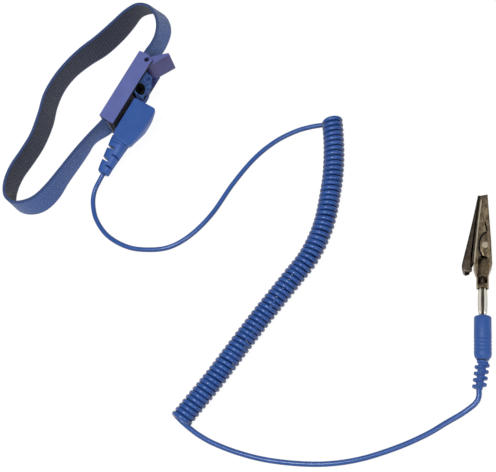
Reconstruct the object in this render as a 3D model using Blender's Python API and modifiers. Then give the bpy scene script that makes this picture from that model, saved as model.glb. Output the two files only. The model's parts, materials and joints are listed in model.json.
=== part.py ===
"""Wrist strap with a coiled earthing cord: elastic band, lever clasp, snap plug, cord, banana plug, clip.

Layout numbers are millimetres. X runs along the clasp, Y points into the wrist loop, Z is up.
The band stands on its edge on the floor at Z = 0, and the cord lies on that floor.
"""
import bpy
import bmesh
from math import cos, sin, pi, radians
from mathutils import Vector

# ---------------------------------------------------------------- driving dimensions (millimetres)
MM = 0.001
ORIGIN_X = -0.93           # centre of the band and clasp, in layout numbers
ORIGIN_Y = -5.87
GAP = 0.3                  # clearance between pieces that touch

BAND_W = 16.0              # woven width
BAND_T = 1.8
CLASP_W = 19.0             # across the side walls
CLASP_WALL = 1.2
CLASP_LIFT = 1.5           # height of the band's lower edge inside the clasp
CLASP_SKIN_Y = -18.4
CLASP_OUTER_Y = -28.8
CLASP_BASE_T = 1.2
CLASP_WEB_T = 1.4
WEB_END_X = 11.3
LEVER_AXIS = (33.7, -25.6)
LEVER_OPEN_DEG = -52.0     # direction of the open lever's arm
LEVER_LENGTH = 13.0
LEVER_Z = (1.6, 16.4)
LEVER_PIN_R = 1.3
LEVER_HUB_R = 3.0
PIN_END = 0.9              # from the clasp's sides to the ends of its pins
OVERCUT = 2.0              # how far a cutter reaches past the face it opens

ANCHOR_PIN = (-5.8, -23.4)   # the bar that the band's fixed end is sewn round
ANCHOR_R = 1.2

STUD_X = 1.0
STUD_Z = 9.5
STUD_R = 1.95
STUD_SHANK_R = 1.2
PLUG_FACE_Y = -30.6
PLUG_Z = (2.7, 16.3)
POCKET_X = (-13.4, 9.0)    # hollow of the plug, along the clasp
POCKET_HALF = 4.6          # and above and below the stud's height
RESISTOR_Y = -38.0
SNAP_RELIEF_ROOT = (-18.8, -34.0, 9.0)
SNAP_RELIEF_TIP = (-35.8, -33.2, 6.0)
SOCKET_R = 3.6
SOCKET_Y = (-32.4, -36.4)

CORD_R = 1.35
COIL_R = 5.8
COIL_AXIS_Z = 5.8

CLIP_ORIGIN = (-24.8, -257.0)   # where the banana pin leaves its sleeve
CLIP_ANGLE_DEG = 23.6
CLIP_AXIS_Z = 4.6
BOOT_R = 4.3
CLIP_RELIEF_TIP = (-36.8, 1.9)
CLIP_RELIEF_BEND_DEG = -7.6
CLIP_RIVET = (37.3, -1.2)       # along and across the clip's axis
RIVET_R = 1.0
RIVET_PLAY = 0.15
CLIP_Z = (0.9, 8.3)
CLIP_JAW_Z = (1.6, 7.6)
SHEET_T = 0.6

# ---------------------------------------------------------------- routes (millimetres)
# x, y of the band's upper edge; lean is how far the lower edge stands outwards; lift raises both edges
BAND_ROUTE = [
    (-5.8, -20.9, 0, 1.5), (-10.4, -20.8, 0, 1.5), (-20, -18.0, -2.9, 0.6), (-27, -16.3, -1.7, 0.3),
    (-34, -14.8, -0.6, 0), (-47, -13.0, 0.4, 0), (-58, -11.2, 2.4, 0), (-66.5, -8.6, 2.4, 0),
    (-72, -4.0, 1.2, 0), (-74.8, 2.0, -0.3, 0), (-73, 8.4, -0.6, 0), (-66.2, 13.0, -1.0, 0),
    (-56.4, 15.2, -1.4, 0), (-45, 15.0, -1.8, 0), (-34, 15.4, -2.2, 0), (-21, 18.6, -3.0, 0),
    (-9, 22.4, -2.4, 0), (3, 23.2, -1.0, 0), (14.3, 21.9, -0.9, 0), (26, 18.8, -2.6, 0),
    (37, 14.2, -4.2, 0), (49, 10.2, -4.0, 0), (59.5, 6.8, -2.2, 0), (66.2, 2.2, 2.2, 0),
    (67.6, -4.6, 5.4, 0), (64.8, -10.6, 6.0, 0), (60.2, -15.6, 4.6, 0), (54, -19.2, 2.2, 0.3),
    (47, -21.0, 0.6, 0.9), (38, -20.9, 0, 1.5), (30, -20.9, 0, 1.5), (23.6, -21.1, 0, 1.5),
    (20.2, -22.6, 0, 1.5),
]
FIXED_HEM_ROUTE = [
    (-5.5, -20.9), (-3.7, -21.5), (-2.9, -23.4), (-3.7, -25.2), (-5.8, -25.8),
    (-8.2, -25.1), (-10.4, -24.2),
]
TAIL_HEM_ROUTE = [
    (19.4, -23.6), (19.2, -26.6), (20.2, -30.0), (20.0, -33.0), (17.6, -35.0),
    (14.8, -34.4), (13.4, -31.8), (13.9, -29.2), (16.2, -28.2),
]
SNAP_LEAD_ROUTE = [
    (-36.1, -33.2, 5.9), (-40.5, -32.7, 4.6), (-46.5, -32.4, 2.6), (-53.4, -35.2, 1.5),
    (-61.0, -42.3, 1.35), (-66.6, -53.6, 1.35), (-67.6, -67.4, 1.35), (-64.0, -79.5, 1.35),
    (-57.6, -89.6, 1.35), (-46.6, -96.8, 1.35), (-30.8, -101.5, 1.35), (-10.0, -103.5, 1.35),
    (8.4, -107.1, 1.35), (22.5, -113.0, 1.35), (32.8, -120.6, 1.4), (41.0, -126.8, 2.0),
    (46.8, -129.8, 3.6), (50.2, -132.6, 5.0), (49.6, -135.4, 5.7), (46.0, -137.6, 5.8),
]
COIL_ROUTE = [
    (45.4, -138.0), (37.5, -142.7), (29.1, -147.3), (18.2, -152.4), (6.9, -156.6), (-12.8, -162.2),
    (-31.3, -163.4), (-48.1, -160.6), (-71.4, -156.2), (-90.5, -153.0), (-111.4, -149.7),
    (-126.8, -146.6), (-138.2, -144.2),
]
CLIP_LEAD_ROUTE = [
    (-139.1, -145.5, 1.6), (-141.0, -145.9, 1.35), (-142.3, -149.2, 1.35), (-142.2, -155.0, 1.35),
    (-141.5, -162.0, 1.35), (-139.3, -177.0, 1.35),
    (-135.6, -192.0, 1.35), (-129.4, -208.6, 1.35), (-122.4, -222.1, 1.35), (-113.4, -234.4, 1.35),
    (-101.0, -247.0, 1.35), (-89.6, -256.4, 1.35), (-80.4, -262.4, 1.4), (-73.0, -267.4, 1.9),
    (-66.4, -271.0, 3.2), (-62.7, -271.4, 4.2), (-59.6, -270.1, 4.6),
]

# ---------------------------------------------------------------- scene set-up
for stale in list(bpy.data.objects):
    bpy.data.objects.remove(stale, do_unlink=True)

PARTS = bpy.data.collections.new("wrist_strap")
CUTTERS = bpy.data.collections.new("cutters")
bpy.context.scene.collection.children.link(PARTS)
bpy.context.scene.collection.children.link(CUTTERS)


def place(x, y, z):
    """World position in metres of a layout position in millimetres."""
    return Vector((x - ORIGIN_X, y - ORIGIN_Y, z)) * MM


def empty(name, location, angle=0.0):
    guide = bpy.data.objects.new(name, None)
    guide.location = location
    guide.rotation_euler = (0.0, 0.0, angle)
    PARTS.objects.link(guide)
    return guide


LAYOUT = empty("layout_origin", place(0, 0, 0))
CLIP_LINE = empty("clip_line", place(*CLIP_ORIGIN, CLIP_AXIS_Z), radians(CLIP_ANGLE_DEG))


# ---------------------------------------------------------------- materials
def material(name, colour, roughness, metallic=0.0):
    mat = bpy.data.materials.new(name)
    mat.use_nodes = True
    shader = mat.node_tree.nodes["Principled BSDF"]
    shader.inputs["Base Color"].default_value = (*colour, 1.0)
    shader.inputs["Roughness"].default_value = roughness
    shader.inputs["Metallic"].default_value = metallic
    return mat


ELASTIC = material("blue_elastic", (0.08, 0.14, 0.34), 0.9)
PURPLE_PLASTIC = material("purple_plastic", (0.14, 0.15, 0.42), 0.45)
BLUE_PVC = material("blue_pvc", (0.04, 0.11, 0.36), 0.4)
STEEL = material("steel", (0.62, 0.62, 0.64), 0.3, 1.0)
NICKEL = material("nickel_plate", (0.72, 0.70, 0.66), 0.25, 1.0)
AGED_NICKEL = material("aged_nickel", (0.30, 0.26, 0.21), 0.4, 1.0)
BRASS = material("brass", (0.75, 0.58, 0.28), 0.35, 1.0)
RESISTOR = material("resistor_body", (0.55, 0.48, 0.34), 0.5)


# ---------------------------------------------------------------- helpers
def finish(obj, mat, parent=None, collection=PARTS):
    obj.data.materials.append(mat)
    collection.objects.link(obj)
    obj.parent = parent
    return obj


def smooth_route(points, step):
    """Points about one step apart on a smooth curve through the given points."""
    route = [Vector(p) for p in points]
    route = [2 * route[0] - route[1]] + route + [2 * route[-1] - route[-2]]
    result = []
    for a, b, c, d in zip(route, route[1:], route[2:], route[3:]):
        count = max(1, round((c - b).length / step))
        for i in range(count):
            t = i / count
            result.append(0.5 * (2 * b + (c - a) * t + (2 * a - 5 * b + 4 * c - d) * t ** 2
                                 + (3 * b - a - 3 * c + d) * t ** 3))
    result.append(route[-2])
    return result


def rounded(points, radius, steps=4):
    """A closed outline with each corner replaced by an arc of the given radius."""
    result = []
    count = len(points)
    for i, corner in enumerate(points):
        here = Vector(corner)
        before = Vector(points[i - 1]) - here
        after = Vector(points[(i + 1) % count]) - here
        reach = min(radius, 0.45 * before.length, 0.45 * after.length)
        start = here + before.normalized() * reach
        end = here + after.normalized() * reach
        for k in range(steps + 1):
            t = k / steps
            result.append(start * (1 - t) ** 2 + here * 2 * t * (1 - t) + end * t ** 2)
    return result


def outline_curve(name, points, low, high):
    """A flat outline in the XY plane, filled and extruded from low to high."""
    data = bpy.data.curves.new(name, "CURVE")
    data.dimensions = "2D"
    data.fill_mode = "BOTH"
    data.extrude = (high - low) * MM / 2
    spline = data.splines.new("POLY")
    spline.points.add(len(points) - 1)
    for target, point in zip(spline.points, points):
        target.co = (point[0] * MM, point[1] * MM, 0.0, 1.0)
    spline.use_cyclic_u = True
    obj = bpy.data.objects.new(name, data)
    obj.location.z = (low + high) * MM / 2
    return obj


def as_mesh(curve_obj):
    """The same shape as a welded mesh, so that it can be cut or bevelled."""
    name = curve_obj.name
    bpy.context.scene.collection.objects.link(curve_obj)
    graph = bpy.context.evaluated_depsgraph_get()
    mesh = bpy.data.meshes.new_from_object(curve_obj.evaluated_get(graph))
    matrix = curve_obj.matrix_world.copy()
    bpy.data.objects.remove(curve_obj, do_unlink=True)
    work = bmesh.new()
    work.from_mesh(mesh)
    bmesh.ops.remove_doubles(work, verts=work.verts, dist=1e-6)
    work.to_mesh(mesh)
    work.free()
    obj = bpy.data.objects.new(name, mesh)
    obj.matrix_world = matrix
    return obj


def slab(name, points, low, high):
    return as_mesh(outline_curve(name, points, low, high))


def box_points(x0, x1, y0, y1):
    return [(x0, y0), (x1, y0), (x1, y1), (x0, y1)]


def bevel(obj, width, segments=2, angle=40):
    mod = obj.modifiers.new("rounded_edges", "BEVEL")
    mod.width = width * MM
    mod.segments = segments
    mod.limit_method = "ANGLE"
    mod.angle_limit = radians(angle)


def turned(name, profile, steps=24):
    """A solid turned about local Z; the profile is radius, height, down its outer side."""
    mesh = bpy.data.meshes.new(name)
    work = bmesh.new()
    verts = [work.verts.new((r * MM, 0.0, h * MM)) for r, h in profile]
    for a, b in zip(verts, verts[1:]):
        work.edges.new((a, b))
    if profile[0][0] > 0 and profile[-1][0] > 0:
        work.edges.new((verts[-1], verts[0]))
    work.to_mesh(mesh)
    work.free()
    obj = bpy.data.objects.new(name, mesh)
    screw = obj.modifiers.new("turn", "SCREW")
    screw.steps = steps
    screw.render_steps = steps
    screw.use_merge_vertices = True
    screw.merge_threshold = 1e-6
    return obj


def rod(name, radius, low, high, steps=20):
    return turned(name, [(0, high), (radius, high), (radius, low), (0, low)], steps)


def wire(name, points, radius, resolution=2):
    """A round wire or tube along the points, in millimetres."""
    data = bpy.data.curves.new(name, "CURVE")
    data.dimensions = "3D"
    data.bevel_depth = radius * MM
    data.bevel_resolution = resolution
    data.use_fill_caps = True
    spline = data.splines.new("POLY")
    spline.points.add(len(points) - 1)
    for target, point in zip(spline.points, points):
        target.co = (*(Vector(point) * MM), 1.0)
    return bpy.data.objects.new(name, data)


def along_y(obj, x, y, z):
    """Turns local Z to world +Y and puts the origin at the layout position."""
    obj.location = Vector((x, y, z)) * MM
    obj.rotation_euler = (-pi / 2, 0.0, 0.0)
    return obj


def along_x(obj, x, y, z):
    """Turns local Z to the parent's +X and puts the origin at the given position."""
    obj.location = Vector((x, y, z)) * MM
    obj.rotation_euler = (0.0, pi / 2, 0.0)
    return obj


def cut(obj, *cutters, parent=None):
    for cutter in cutters:
        CUTTERS.objects.link(cutter)
        cutter.parent = parent
        cutter.hide_render = True
        cutter.display_type = "WIRE"
        mod = obj.modifiers.new("cut_" + cutter.name, "BOOLEAN")
        mod.operation = "DIFFERENCE"
        mod.solver = "EXACT"
        mod.object = cutter
    return obj


# ---------------------------------------------------------------- elastic band
def strip(name, route, width, thickness):
    """A strip of webbing on its edge; each route point is x, y, lean, lift."""
    path = smooth_route([(*point, 0.0, CLASP_LIFT)[:4] if len(point) == 2 else point
                         for point in route], 4.0)
    mesh = bpy.data.meshes.new(name)
    work = bmesh.new()
    rows = []
    for i, here in enumerate(path):
        ahead = path[min(i + 1, len(path) - 1)]
        behind = path[max(i - 1, 0)]
        run = Vector((ahead[0] - behind[0], ahead[1] - behind[1])).normalized()
        x, y, lean, lift = here
        tilt_lift = abs(lean) * 0.8 * thickness / width
        low = Vector((x - run[1] * lean, y + run[0] * lean, lift + tilt_lift)) * MM
        high = Vector((x, y, lift + width)) * MM
        rows.append((work.verts.new(low), work.verts.new(high)))
    for (a, b), (c, d) in zip(rows, rows[1:]):
        work.faces.new((a, c, d, b))
    work.to_mesh(mesh)
    work.free()
    obj = bpy.data.objects.new(name, mesh)
    solid = obj.modifiers.new("webbing_thickness", "SOLIDIFY")
    solid.thickness = thickness * MM
    solid.offset = 0.0
    return obj


def make_band():
    finish(strip("band_loop", BAND_ROUTE, BAND_W, BAND_T), ELASTIC, LAYOUT)
    finish(strip("band_fixed_hem", FIXED_HEM_ROUTE, BAND_W, BAND_T), ELASTIC, LAYOUT)
    finish(strip("band_tail_hem", TAIL_HEM_ROUTE, BAND_W, BAND_T), ELASTIC, LAYOUT)


# ---------------------------------------------------------------- clasp
def make_clasp():
    inner_y = CLASP_SKIN_Y - CLASP_BASE_T
    web_y = CLASP_OUTER_Y + CLASP_WEB_T
    shell = [(-9.0, CLASP_SKIN_Y), (37.2, CLASP_SKIN_Y), (37.0, -24.4), (34.4, CLASP_OUTER_Y),
             (-10.6, CLASP_OUTER_Y)]
    body = slab("clasp_body", rounded(shell, 0.7), 0.0, CLASP_W)
    channel = [(-14, inner_y), (42, inner_y), (42, -34), (WEB_END_X, -34), (WEB_END_X, web_y),
               (-14, web_y)]
    channel_cut = slab("clasp_channel", channel, CLASP_WALL, CLASP_W - CLASP_WALL)
    pin_hole = rod("lever_pin_hole", LEVER_PIN_R + GAP, -OVERCUT, CLASP_W + OVERCUT)
    pin_hole.location = Vector((*LEVER_AXIS, 0)) * MM
    anchor_hole = rod("anchor_pin_pocket", ANCHOR_R + GAP, PIN_END - GAP, CLASP_W - PIN_END + GAP, 16)
    anchor_hole.location = Vector((*ANCHOR_PIN, 0)) * MM
    shank_hole = rod("stud_hole", STUD_SHANK_R + GAP, -OVERCUT, CLASP_WEB_T + OVERCUT, 16)
    stud_hole = along_y(shank_hole, STUD_X, CLASP_OUTER_Y, STUD_Z)
    cut(body, channel_cut, pin_hole, anchor_hole, stud_hole, parent=LAYOUT)
    finish(body, PURPLE_PLASTIC, LAYOUT)

    corners = rounded(box_points(-2.0, 30.0, 3.0, 16.0), 2.0)
    plate = slab("skin_plate", corners, -SHEET_T / 2, SHEET_T / 2)
    plate.rotation_euler = (pi / 2, 0.0, 0.0)
    plate.location = Vector((0.0, CLASP_SKIN_Y + GAP + SHEET_T / 2, 0.0)) * MM
    finish(plate, STEEL, LAYOUT)

    anchor = rod("anchor_pin", ANCHOR_R, PIN_END, CLASP_W - PIN_END, 16)
    anchor.location = Vector((*ANCHOR_PIN, 0)) * MM
    finish(anchor, STEEL, LAYOUT)

    pin = rod("lever_pin", LEVER_PIN_R - GAP, PIN_END, CLASP_W - PIN_END, 16)
    pin.location = Vector((*LEVER_AXIS, 0)) * MM
    finish(pin, STEEL, LAYOUT)


def make_lever():
    """The cam lever, in its own frame: arm along local +X, hub on the pin."""
    hub = [(LEVER_HUB_R * cos(radians(a)), LEVER_HUB_R * sin(radians(a))) for a in range(75, 306, 15)]
    arm = [(LEVER_LENGTH, 1.2), (LEVER_LENGTH - 0.1, 2.2), (LEVER_LENGTH - 1.0, 2.6)]
    lever = slab("clasp_lever", hub + arm, *LEVER_Z)
    axis = empty("lever_axis", place(*LEVER_AXIS, 0), radians(LEVER_OPEN_DEG))
    hole = rod("lever_hub_hole", LEVER_PIN_R, -OVERCUT, CLASP_W + OVERCUT)
    cut(lever, hole, parent=axis)
    bevel(lever, 0.3, 1)
    finish(lever, PURPLE_PLASTIC, axis)


# ---------------------------------------------------------------- snap fastener
def make_snap():
    stud = [(0, 0.6), (STUD_SHANK_R, 0.6), (STUD_SHANK_R, -0.3), (4.0, -0.3), (4.0, -0.8), (1.5, -1.0),
            (1.4, -3.4), (STUD_R, -4.0), (STUD_R, -5.4), (1.4, -6.0), (0, -6.0)]
    finish(along_y(turned("snap_stud", stud), STUD_X, CLASP_OUTER_Y, STUD_Z), NICKEL, LAYOUT)

    rivet = [(0, 2.3), (3.0, 2.3), (3.0, 1.7), (1.2, 1.7), (1.2, 0.9), (0, 0.9)]
    finish(along_y(turned("stud_rivet", rivet), STUD_X, CLASP_OUTER_Y, STUD_Z), NICKEL, LAYOUT)

    top = SOCKET_Y[0] - SOCKET_Y[1]
    cup = [(0, 0.6), (2.7, 0.6), (2.7, top), (SOCKET_R, top), (SOCKET_R, 0), (0, 0)]
    socket = along_y(turned("snap_socket", cup), STUD_X, SOCKET_Y[1], STUD_Z)
    finish(socket, BRASS, LAYOUT)

    ring = [(2.35 + 0.2 * cos(radians(a)), 2.2 - 0.2 * sin(radians(a))) for a in range(0, 360, 45)]
    finish(along_y(turned("socket_spring", ring), STUD_X, SOCKET_Y[1], STUD_Z), STEEL, LAYOUT)


# ---------------------------------------------------------------- snap plug
def make_snap_plug():
    shape = [(10.6, PLUG_FACE_Y), (10.3, -37.0), (9.0, -43.6), (0.0, -44.8), (-7.5, -44.4),
             (-14.2, -42.8), (-17.2, -40.6), (-17.6, -34.6), (-16.4, -31.4), (-12.5, PLUG_FACE_Y)]
    housing = slab("plug_housing", rounded(shape, 1.4, 3), *PLUG_Z)
    bevel(housing, 1.6, 3, 60)
    pocket = slab("plug_pocket", box_points(*POCKET_X, -39.6, PLUG_FACE_Y + 1.6),
                  STUD_Z - POCKET_HALF, STUD_Z + POCKET_HALF)
    cut(housing, pocket, parent=LAYOUT)
    finish(housing, BLUE_PVC, LAYOUT)

    base_shape = box_points(POCKET_X[0] + GAP, POCKET_X[1] - GAP, PLUG_FACE_Y - 1.5, PLUG_FACE_Y - GAP)
    base = slab("plug_base", base_shape, STUD_Z - POCKET_HALF + GAP, STUD_Z + POCKET_HALF - GAP)
    mouth = along_y(rod("base_mouth", 2.6, -6, 6, 20), STUD_X, PLUG_FACE_Y, STUD_Z)
    cut(base, mouth, parent=LAYOUT)
    finish(base, BLUE_PVC, LAYOUT)

    body = [(0, 6.6), (0.9, 6.5), (1.25, 6.0), (1.25, 5.0), (1.05, 4.6), (1.05, 2.0), (1.25, 1.6),
            (1.25, 0.6), (0.9, 0.1), (0, 0)]
    finish(along_x(turned("resistor_body", body, 16), -8.6, RESISTOR_Y, STUD_Z), RESISTOR, LAYOUT)
    lead_a = smooth_route([(-1.7, RESISTOR_Y, STUD_Z), (-0.2, RESISTOR_Y, STUD_Z), (0.8, -37.6, STUD_Z),
                           (1.0, -36.7, STUD_Z)], 0.8)
    finish(wire("resistor_lead_a", lead_a, 0.3), NICKEL, LAYOUT)
    lead_b = smooth_route([(-8.9, RESISTOR_Y, STUD_Z), (-9.6, -37.9, STUD_Z), (-10.3, -36.6, STUD_Z),
                           (-10.6, -35.4, STUD_Z)], 0.8)
    finish(wire("resistor_lead_b", lead_b, 0.3), NICKEL, LAYOUT)
    finish(along_x(rod("crimp_ferrule", 1.3, 0, 2.9, 16), -13.1, -33.8, STUD_Z), BRASS, LAYOUT)


def relief_profile(length, flanges, root_r, tip_r, core_root, core_tip):
    """Flanged strain relief: radius and height, from the housing end down to the cord end."""
    profile = [(0, length)]
    pitch = length / flanges
    for i in range(flanges):
        t = i / (flanges - 1)
        outer = root_r + (tip_r - root_r) * t
        core = core_root + (core_tip - core_root) * t
        top = length - i * pitch
        profile += [(outer, top), (outer, top - 0.5 * pitch), (core, top - 0.5 * pitch)]
        profile += [(core, top - pitch)]
    return profile + [(0, 0)]


def make_snap_relief():
    root = Vector(SNAP_RELIEF_ROOT)
    tip = Vector(SNAP_RELIEF_TIP)
    profile = relief_profile((root - tip).length, 4, 5.2, 3.9, 3.2, 2.2)
    relief = turned("plug_strain_relief", profile, 20)
    relief.location = tip * MM
    relief.rotation_mode = "QUATERNION"
    relief.rotation_quaternion = (root - tip).to_track_quat("Z", "Y")
    finish(relief, BLUE_PVC, LAYOUT)


# ---------------------------------------------------------------- cord
def make_cord():
    finish(wire("cord_snap_end", smooth_route(SNAP_LEAD_ROUTE, 5.0), CORD_R), BLUE_PVC, LAYOUT)
    finish(wire("cord_clip_end", smooth_route(CLIP_LEAD_ROUTE, 5.0), CORD_R), BLUE_PVC, LAYOUT)
    axis = smooth_route([(x, y, COIL_AXIS_Z) for x, y in COIL_ROUTE], 9.0)
    finish(wire("cord_coil", axis, COIL_R, 3), BLUE_PVC, LAYOUT)


# ---------------------------------------------------------------- banana plug
def make_banana_plug():
    profile = relief_profile(14.2, 4, 3.6, 3.4, 1.9, 1.7)
    relief = along_x(turned("clip_strain_relief", profile, 16), *CLIP_RELIEF_TIP, 0)
    relief.rotation_euler.z = radians(CLIP_RELIEF_BEND_DEG)
    finish(relief, BLUE_PVC, CLIP_LINE)

    rings = []
    for i in range(3):
        top = -12.6 - 2.2 * i
        rings += [(BOOT_R, top), (BOOT_R - 0.25, top - 0.4), (BOOT_R - 0.25, top - 0.8),
                  (BOOT_R, top - 1.2)]
    boot = [(2.0, 0), (BOOT_R - 0.3, 0), (BOOT_R, -0.4)] + rings
    boot += [(BOOT_R - 0.2, -19.6), (3.7, -22.0), (0, -22.0), (0, -18.0), (2.0, -18.0)]
    bore = boot[-2:] + boot[:-2]
    finish(along_x(turned("banana_boot", bore), 0, 0, 0), BLUE_PVC, CLIP_LINE)

    pin = [(0, 21.6), (1.0, 21.4), (1.6, 20.6), (1.8, 19.6), (1.8, 16.4), (1.0, 15.8), (0.9, 0.8),
           (1.7, 0.4), (1.7, -16.4), (0, -16.4)]
    finish(along_x(turned("banana_pin", pin, 20), 0, 0, 0), NICKEL, CLIP_LINE)

    count = 10
    outer = []
    for i in range(count + 1):
        t = i / count
        outer.append((1.75 + 0.65 * sin(pi * t) ** 0.6, 15.2 - 14.2 * t))
    inner = [(r - 0.4, h) for r, h in reversed(outer)]
    leaves = along_x(turned("banana_leaves", outer + inner), 0, 0, 0)
    for i in range(2):
        slot = slab("leaf_slot_" + str(i), box_points(2.6, 13.6, -0.35, 0.35), -4, 4)
        slot.rotation_euler = (radians(45 + 90 * i), 0, 0)
        cut(leaves, slot, parent=CLIP_LINE)
    finish(leaves, NICKEL, CLIP_LINE)


# ---------------------------------------------------------------- clip
def toothed(start, end, count, depth):
    """Points of a saw edge from start to end; the teeth point across by depth."""
    result = []
    for i in range(count):
        a = Vector(start).lerp(Vector(end), i / count)
        b = Vector(start).lerp(Vector(end), (i + 0.6) / count)
        result += [tuple(a), (b[0], b[1] + depth)]
    return result + [end]


def make_clip():
    low, high = (value - CLIP_AXIS_Z for value in CLIP_Z)
    edge = toothed((64.8, 0.6), (50.0, 2.0), 9, 0.5)
    outline = [(22.0, -2.9), (27.0, -4.7), (40.0, -4.2), (65.4, -2.6)] + edge
    outline += [(26.0, 4.4), (23.2, 3.6), (22.0, 2.6)]
    jaw = slab("clip_fixed_jaw", outline, low, high)
    inside = [(27.0, -4.1), (40.0, -3.6), (72.0, -1.7), (72.0, 12.0), (20.0, 12.0), (20.0, -2.2)]
    trough = slab("fixed_jaw_trough", inside, low + SHEET_T, high - SHEET_T)
    window = slab("fixed_jaw_window", rounded(box_points(23.6, 31.4, -2.6, 1.8), 1.8), 0, 9)
    rivet_hole = rod("fixed_rivet_hole", RIVET_R + RIVET_PLAY, -9, 9, 16)
    rivet_hole.location = Vector((*CLIP_RIVET, 0)) * MM
    cut(jaw, trough, window, rivet_hole, parent=CLIP_LINE)
    finish(jaw, AGED_NICKEL, CLIP_LINE)

    barrel = [(2.5, 21.7), (3.1, 21.7), (3.1, 14.9), (2.5, 14.9)]
    finish(along_x(turned("clip_barrel", barrel, 20), 0, 0, 0), AGED_NICKEL, CLIP_LINE)

    make_moving_jaw()

    span_low, span_high = low - 0.2, high + 0.2
    rivet = [(0, span_high + 0.4), (1.2, span_high + 0.4), (1.7, span_high + 0.1), (1.7, span_high),
             (RIVET_R, span_high), (RIVET_R, span_low), (1.7, span_low), (1.7, span_low - 0.1),
             (1.2, span_low - 0.4), (0, span_low - 0.4)]
    pin = turned("clip_rivet", rivet, 16)
    pin.location = Vector((*CLIP_RIVET, 0)) * MM
    finish(pin, STEEL, CLIP_LINE)

    turns, per_turn, radius, rise = 4, 10, 1.6, 0.75
    coil = []
    for i in range(turns * per_turn + 1):
        a = 2 * pi * i / per_turn + radians(150)
        height = rise * (i / per_turn - turns / 2)
        coil.append((radius * cos(a), radius * sin(a), height))
    first, last = Vector(coil[0]), Vector(coil[-1])
    coil = [first + Vector((-4.6, -0.6, 0))] + coil + [last + Vector((-3.4, 2.4, 0))]
    spring = wire("clip_spring", coil, 0.25)
    spring.location = Vector((*CLIP_RIVET, 0)) * MM
    finish(spring, STEEL, CLIP_LINE)


def make_moving_jaw():
    """The handle jaw, about the rivet: local X and Y run along and across the clip."""
    low, high = (value - CLIP_AXIS_Z for value in CLIP_JAW_Z)
    dx, dy = CLIP_RIVET

    def about_rivet(points):
        return [(x - dx, y - dy) for x, y in points]

    back = [(22.6, 8.2), (23.4, 9.6), (26.0, 10.2), (33.0, 8.8), (41.0, 7.0), (52.0, 4.7), (65.2, 2.3)]
    edge = toothed((65.2, 0.9), (52.0, 0.0), 8, -0.5)
    ear = [(44.0, -1.4), (41.0, -3.2), (37.3, -3.4), (34.0, -2.9), (32.4, -0.8), (31.6, 3.0)]
    outline = back + edge + ear + [(27.0, 5.2), (23.2, 6.6)]
    jaw = slab("clip_moving_jaw", about_rivet(outline), low, high)
    hollow = [(19.0, 8.0), (23.4, 8.8), (26.0, 9.4), (33.0, 8.0), (41.0, 6.2), (52.0, 3.9),
              (65.2, 1.5), (70.0, 0.9), (70.0, -12.0), (19.0, -12.0)]
    trough = slab("moving_jaw_trough", about_rivet(hollow), low + SHEET_T, high - SHEET_T)
    hole = rod("moving_rivet_hole", RIVET_R + RIVET_PLAY, -9, 9, 16)
    axis = bpy.data.objects.new("clip_jaw_axis", None)
    axis.location = Vector((dx, dy, 0)) * MM
    axis.parent = CLIP_LINE
    PARTS.objects.link(axis)
    cut(jaw, trough, hole, parent=axis)
    finish(jaw, AGED_NICKEL, axis)


make_band()
make_clasp()
make_lever()
make_snap()
make_snap_plug()
make_snap_relief()
make_cord()
make_banana_plug()
make_clip()
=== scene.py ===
import json
from math import cos, sin, pi, radians

import bmesh
import bpy
from mathutils import Matrix, Vector, noise

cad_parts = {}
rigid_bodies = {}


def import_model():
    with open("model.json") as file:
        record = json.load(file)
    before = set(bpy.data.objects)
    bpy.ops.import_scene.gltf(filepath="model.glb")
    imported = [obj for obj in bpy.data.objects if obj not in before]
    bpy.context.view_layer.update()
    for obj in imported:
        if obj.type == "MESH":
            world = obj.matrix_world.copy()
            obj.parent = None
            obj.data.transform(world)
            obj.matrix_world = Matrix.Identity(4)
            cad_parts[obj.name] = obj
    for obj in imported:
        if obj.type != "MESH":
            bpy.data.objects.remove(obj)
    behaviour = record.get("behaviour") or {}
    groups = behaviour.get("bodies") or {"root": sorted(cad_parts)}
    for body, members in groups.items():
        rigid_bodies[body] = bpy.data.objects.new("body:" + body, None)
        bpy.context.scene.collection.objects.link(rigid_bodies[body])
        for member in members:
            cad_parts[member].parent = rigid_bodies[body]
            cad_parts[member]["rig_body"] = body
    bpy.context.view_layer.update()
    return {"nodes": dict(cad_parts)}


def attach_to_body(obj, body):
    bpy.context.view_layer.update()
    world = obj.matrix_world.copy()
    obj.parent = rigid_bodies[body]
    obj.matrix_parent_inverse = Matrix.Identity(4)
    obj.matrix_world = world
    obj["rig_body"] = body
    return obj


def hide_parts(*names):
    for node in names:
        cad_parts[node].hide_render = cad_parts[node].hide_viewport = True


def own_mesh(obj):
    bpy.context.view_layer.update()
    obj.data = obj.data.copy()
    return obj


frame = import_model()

MM = 0.001
ORIGIN = Vector((-0.93, -5.87, 0.0))

BAND_W = 16.0
BAND_T = 1.8
CLASP_LIFT = 1.5           # height of the band's lower edge inside the clasp

CORD_R = 1.35
COIL_TURNS = 67
TURN_R = 4.45              # from the coil's axis to the wire's centre
COIL_AXIS_Z = 5.8

CLIP_ORIGIN = (-24.8, -257.0, 4.6)     # where the banana pin leaves its sleeve
CLIP_ANGLE_DEG = 23.6
CLIP_RELIEF_TIP = (-36.8, 1.9, 0.0)    # the relief's end on the cord, in the clip's own numbers
CLIP_RELIEF_BEND_DEG = -7.6


def place(x, y, z=0.0):
    """Frame position in metres of a layout position in millimetres."""
    return (Vector((x, y, z)) - ORIGIN) * MM


def clip_line():
    """The clip's own axes: X along the banana pin, Y across, Z up; its numbers are millimetres."""
    return (Matrix.Translation(place(*CLIP_ORIGIN)) @ Matrix.Rotation(radians(CLIP_ANGLE_DEG), 4, "Z")
            @ Matrix.Scale(MM, 4))


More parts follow.
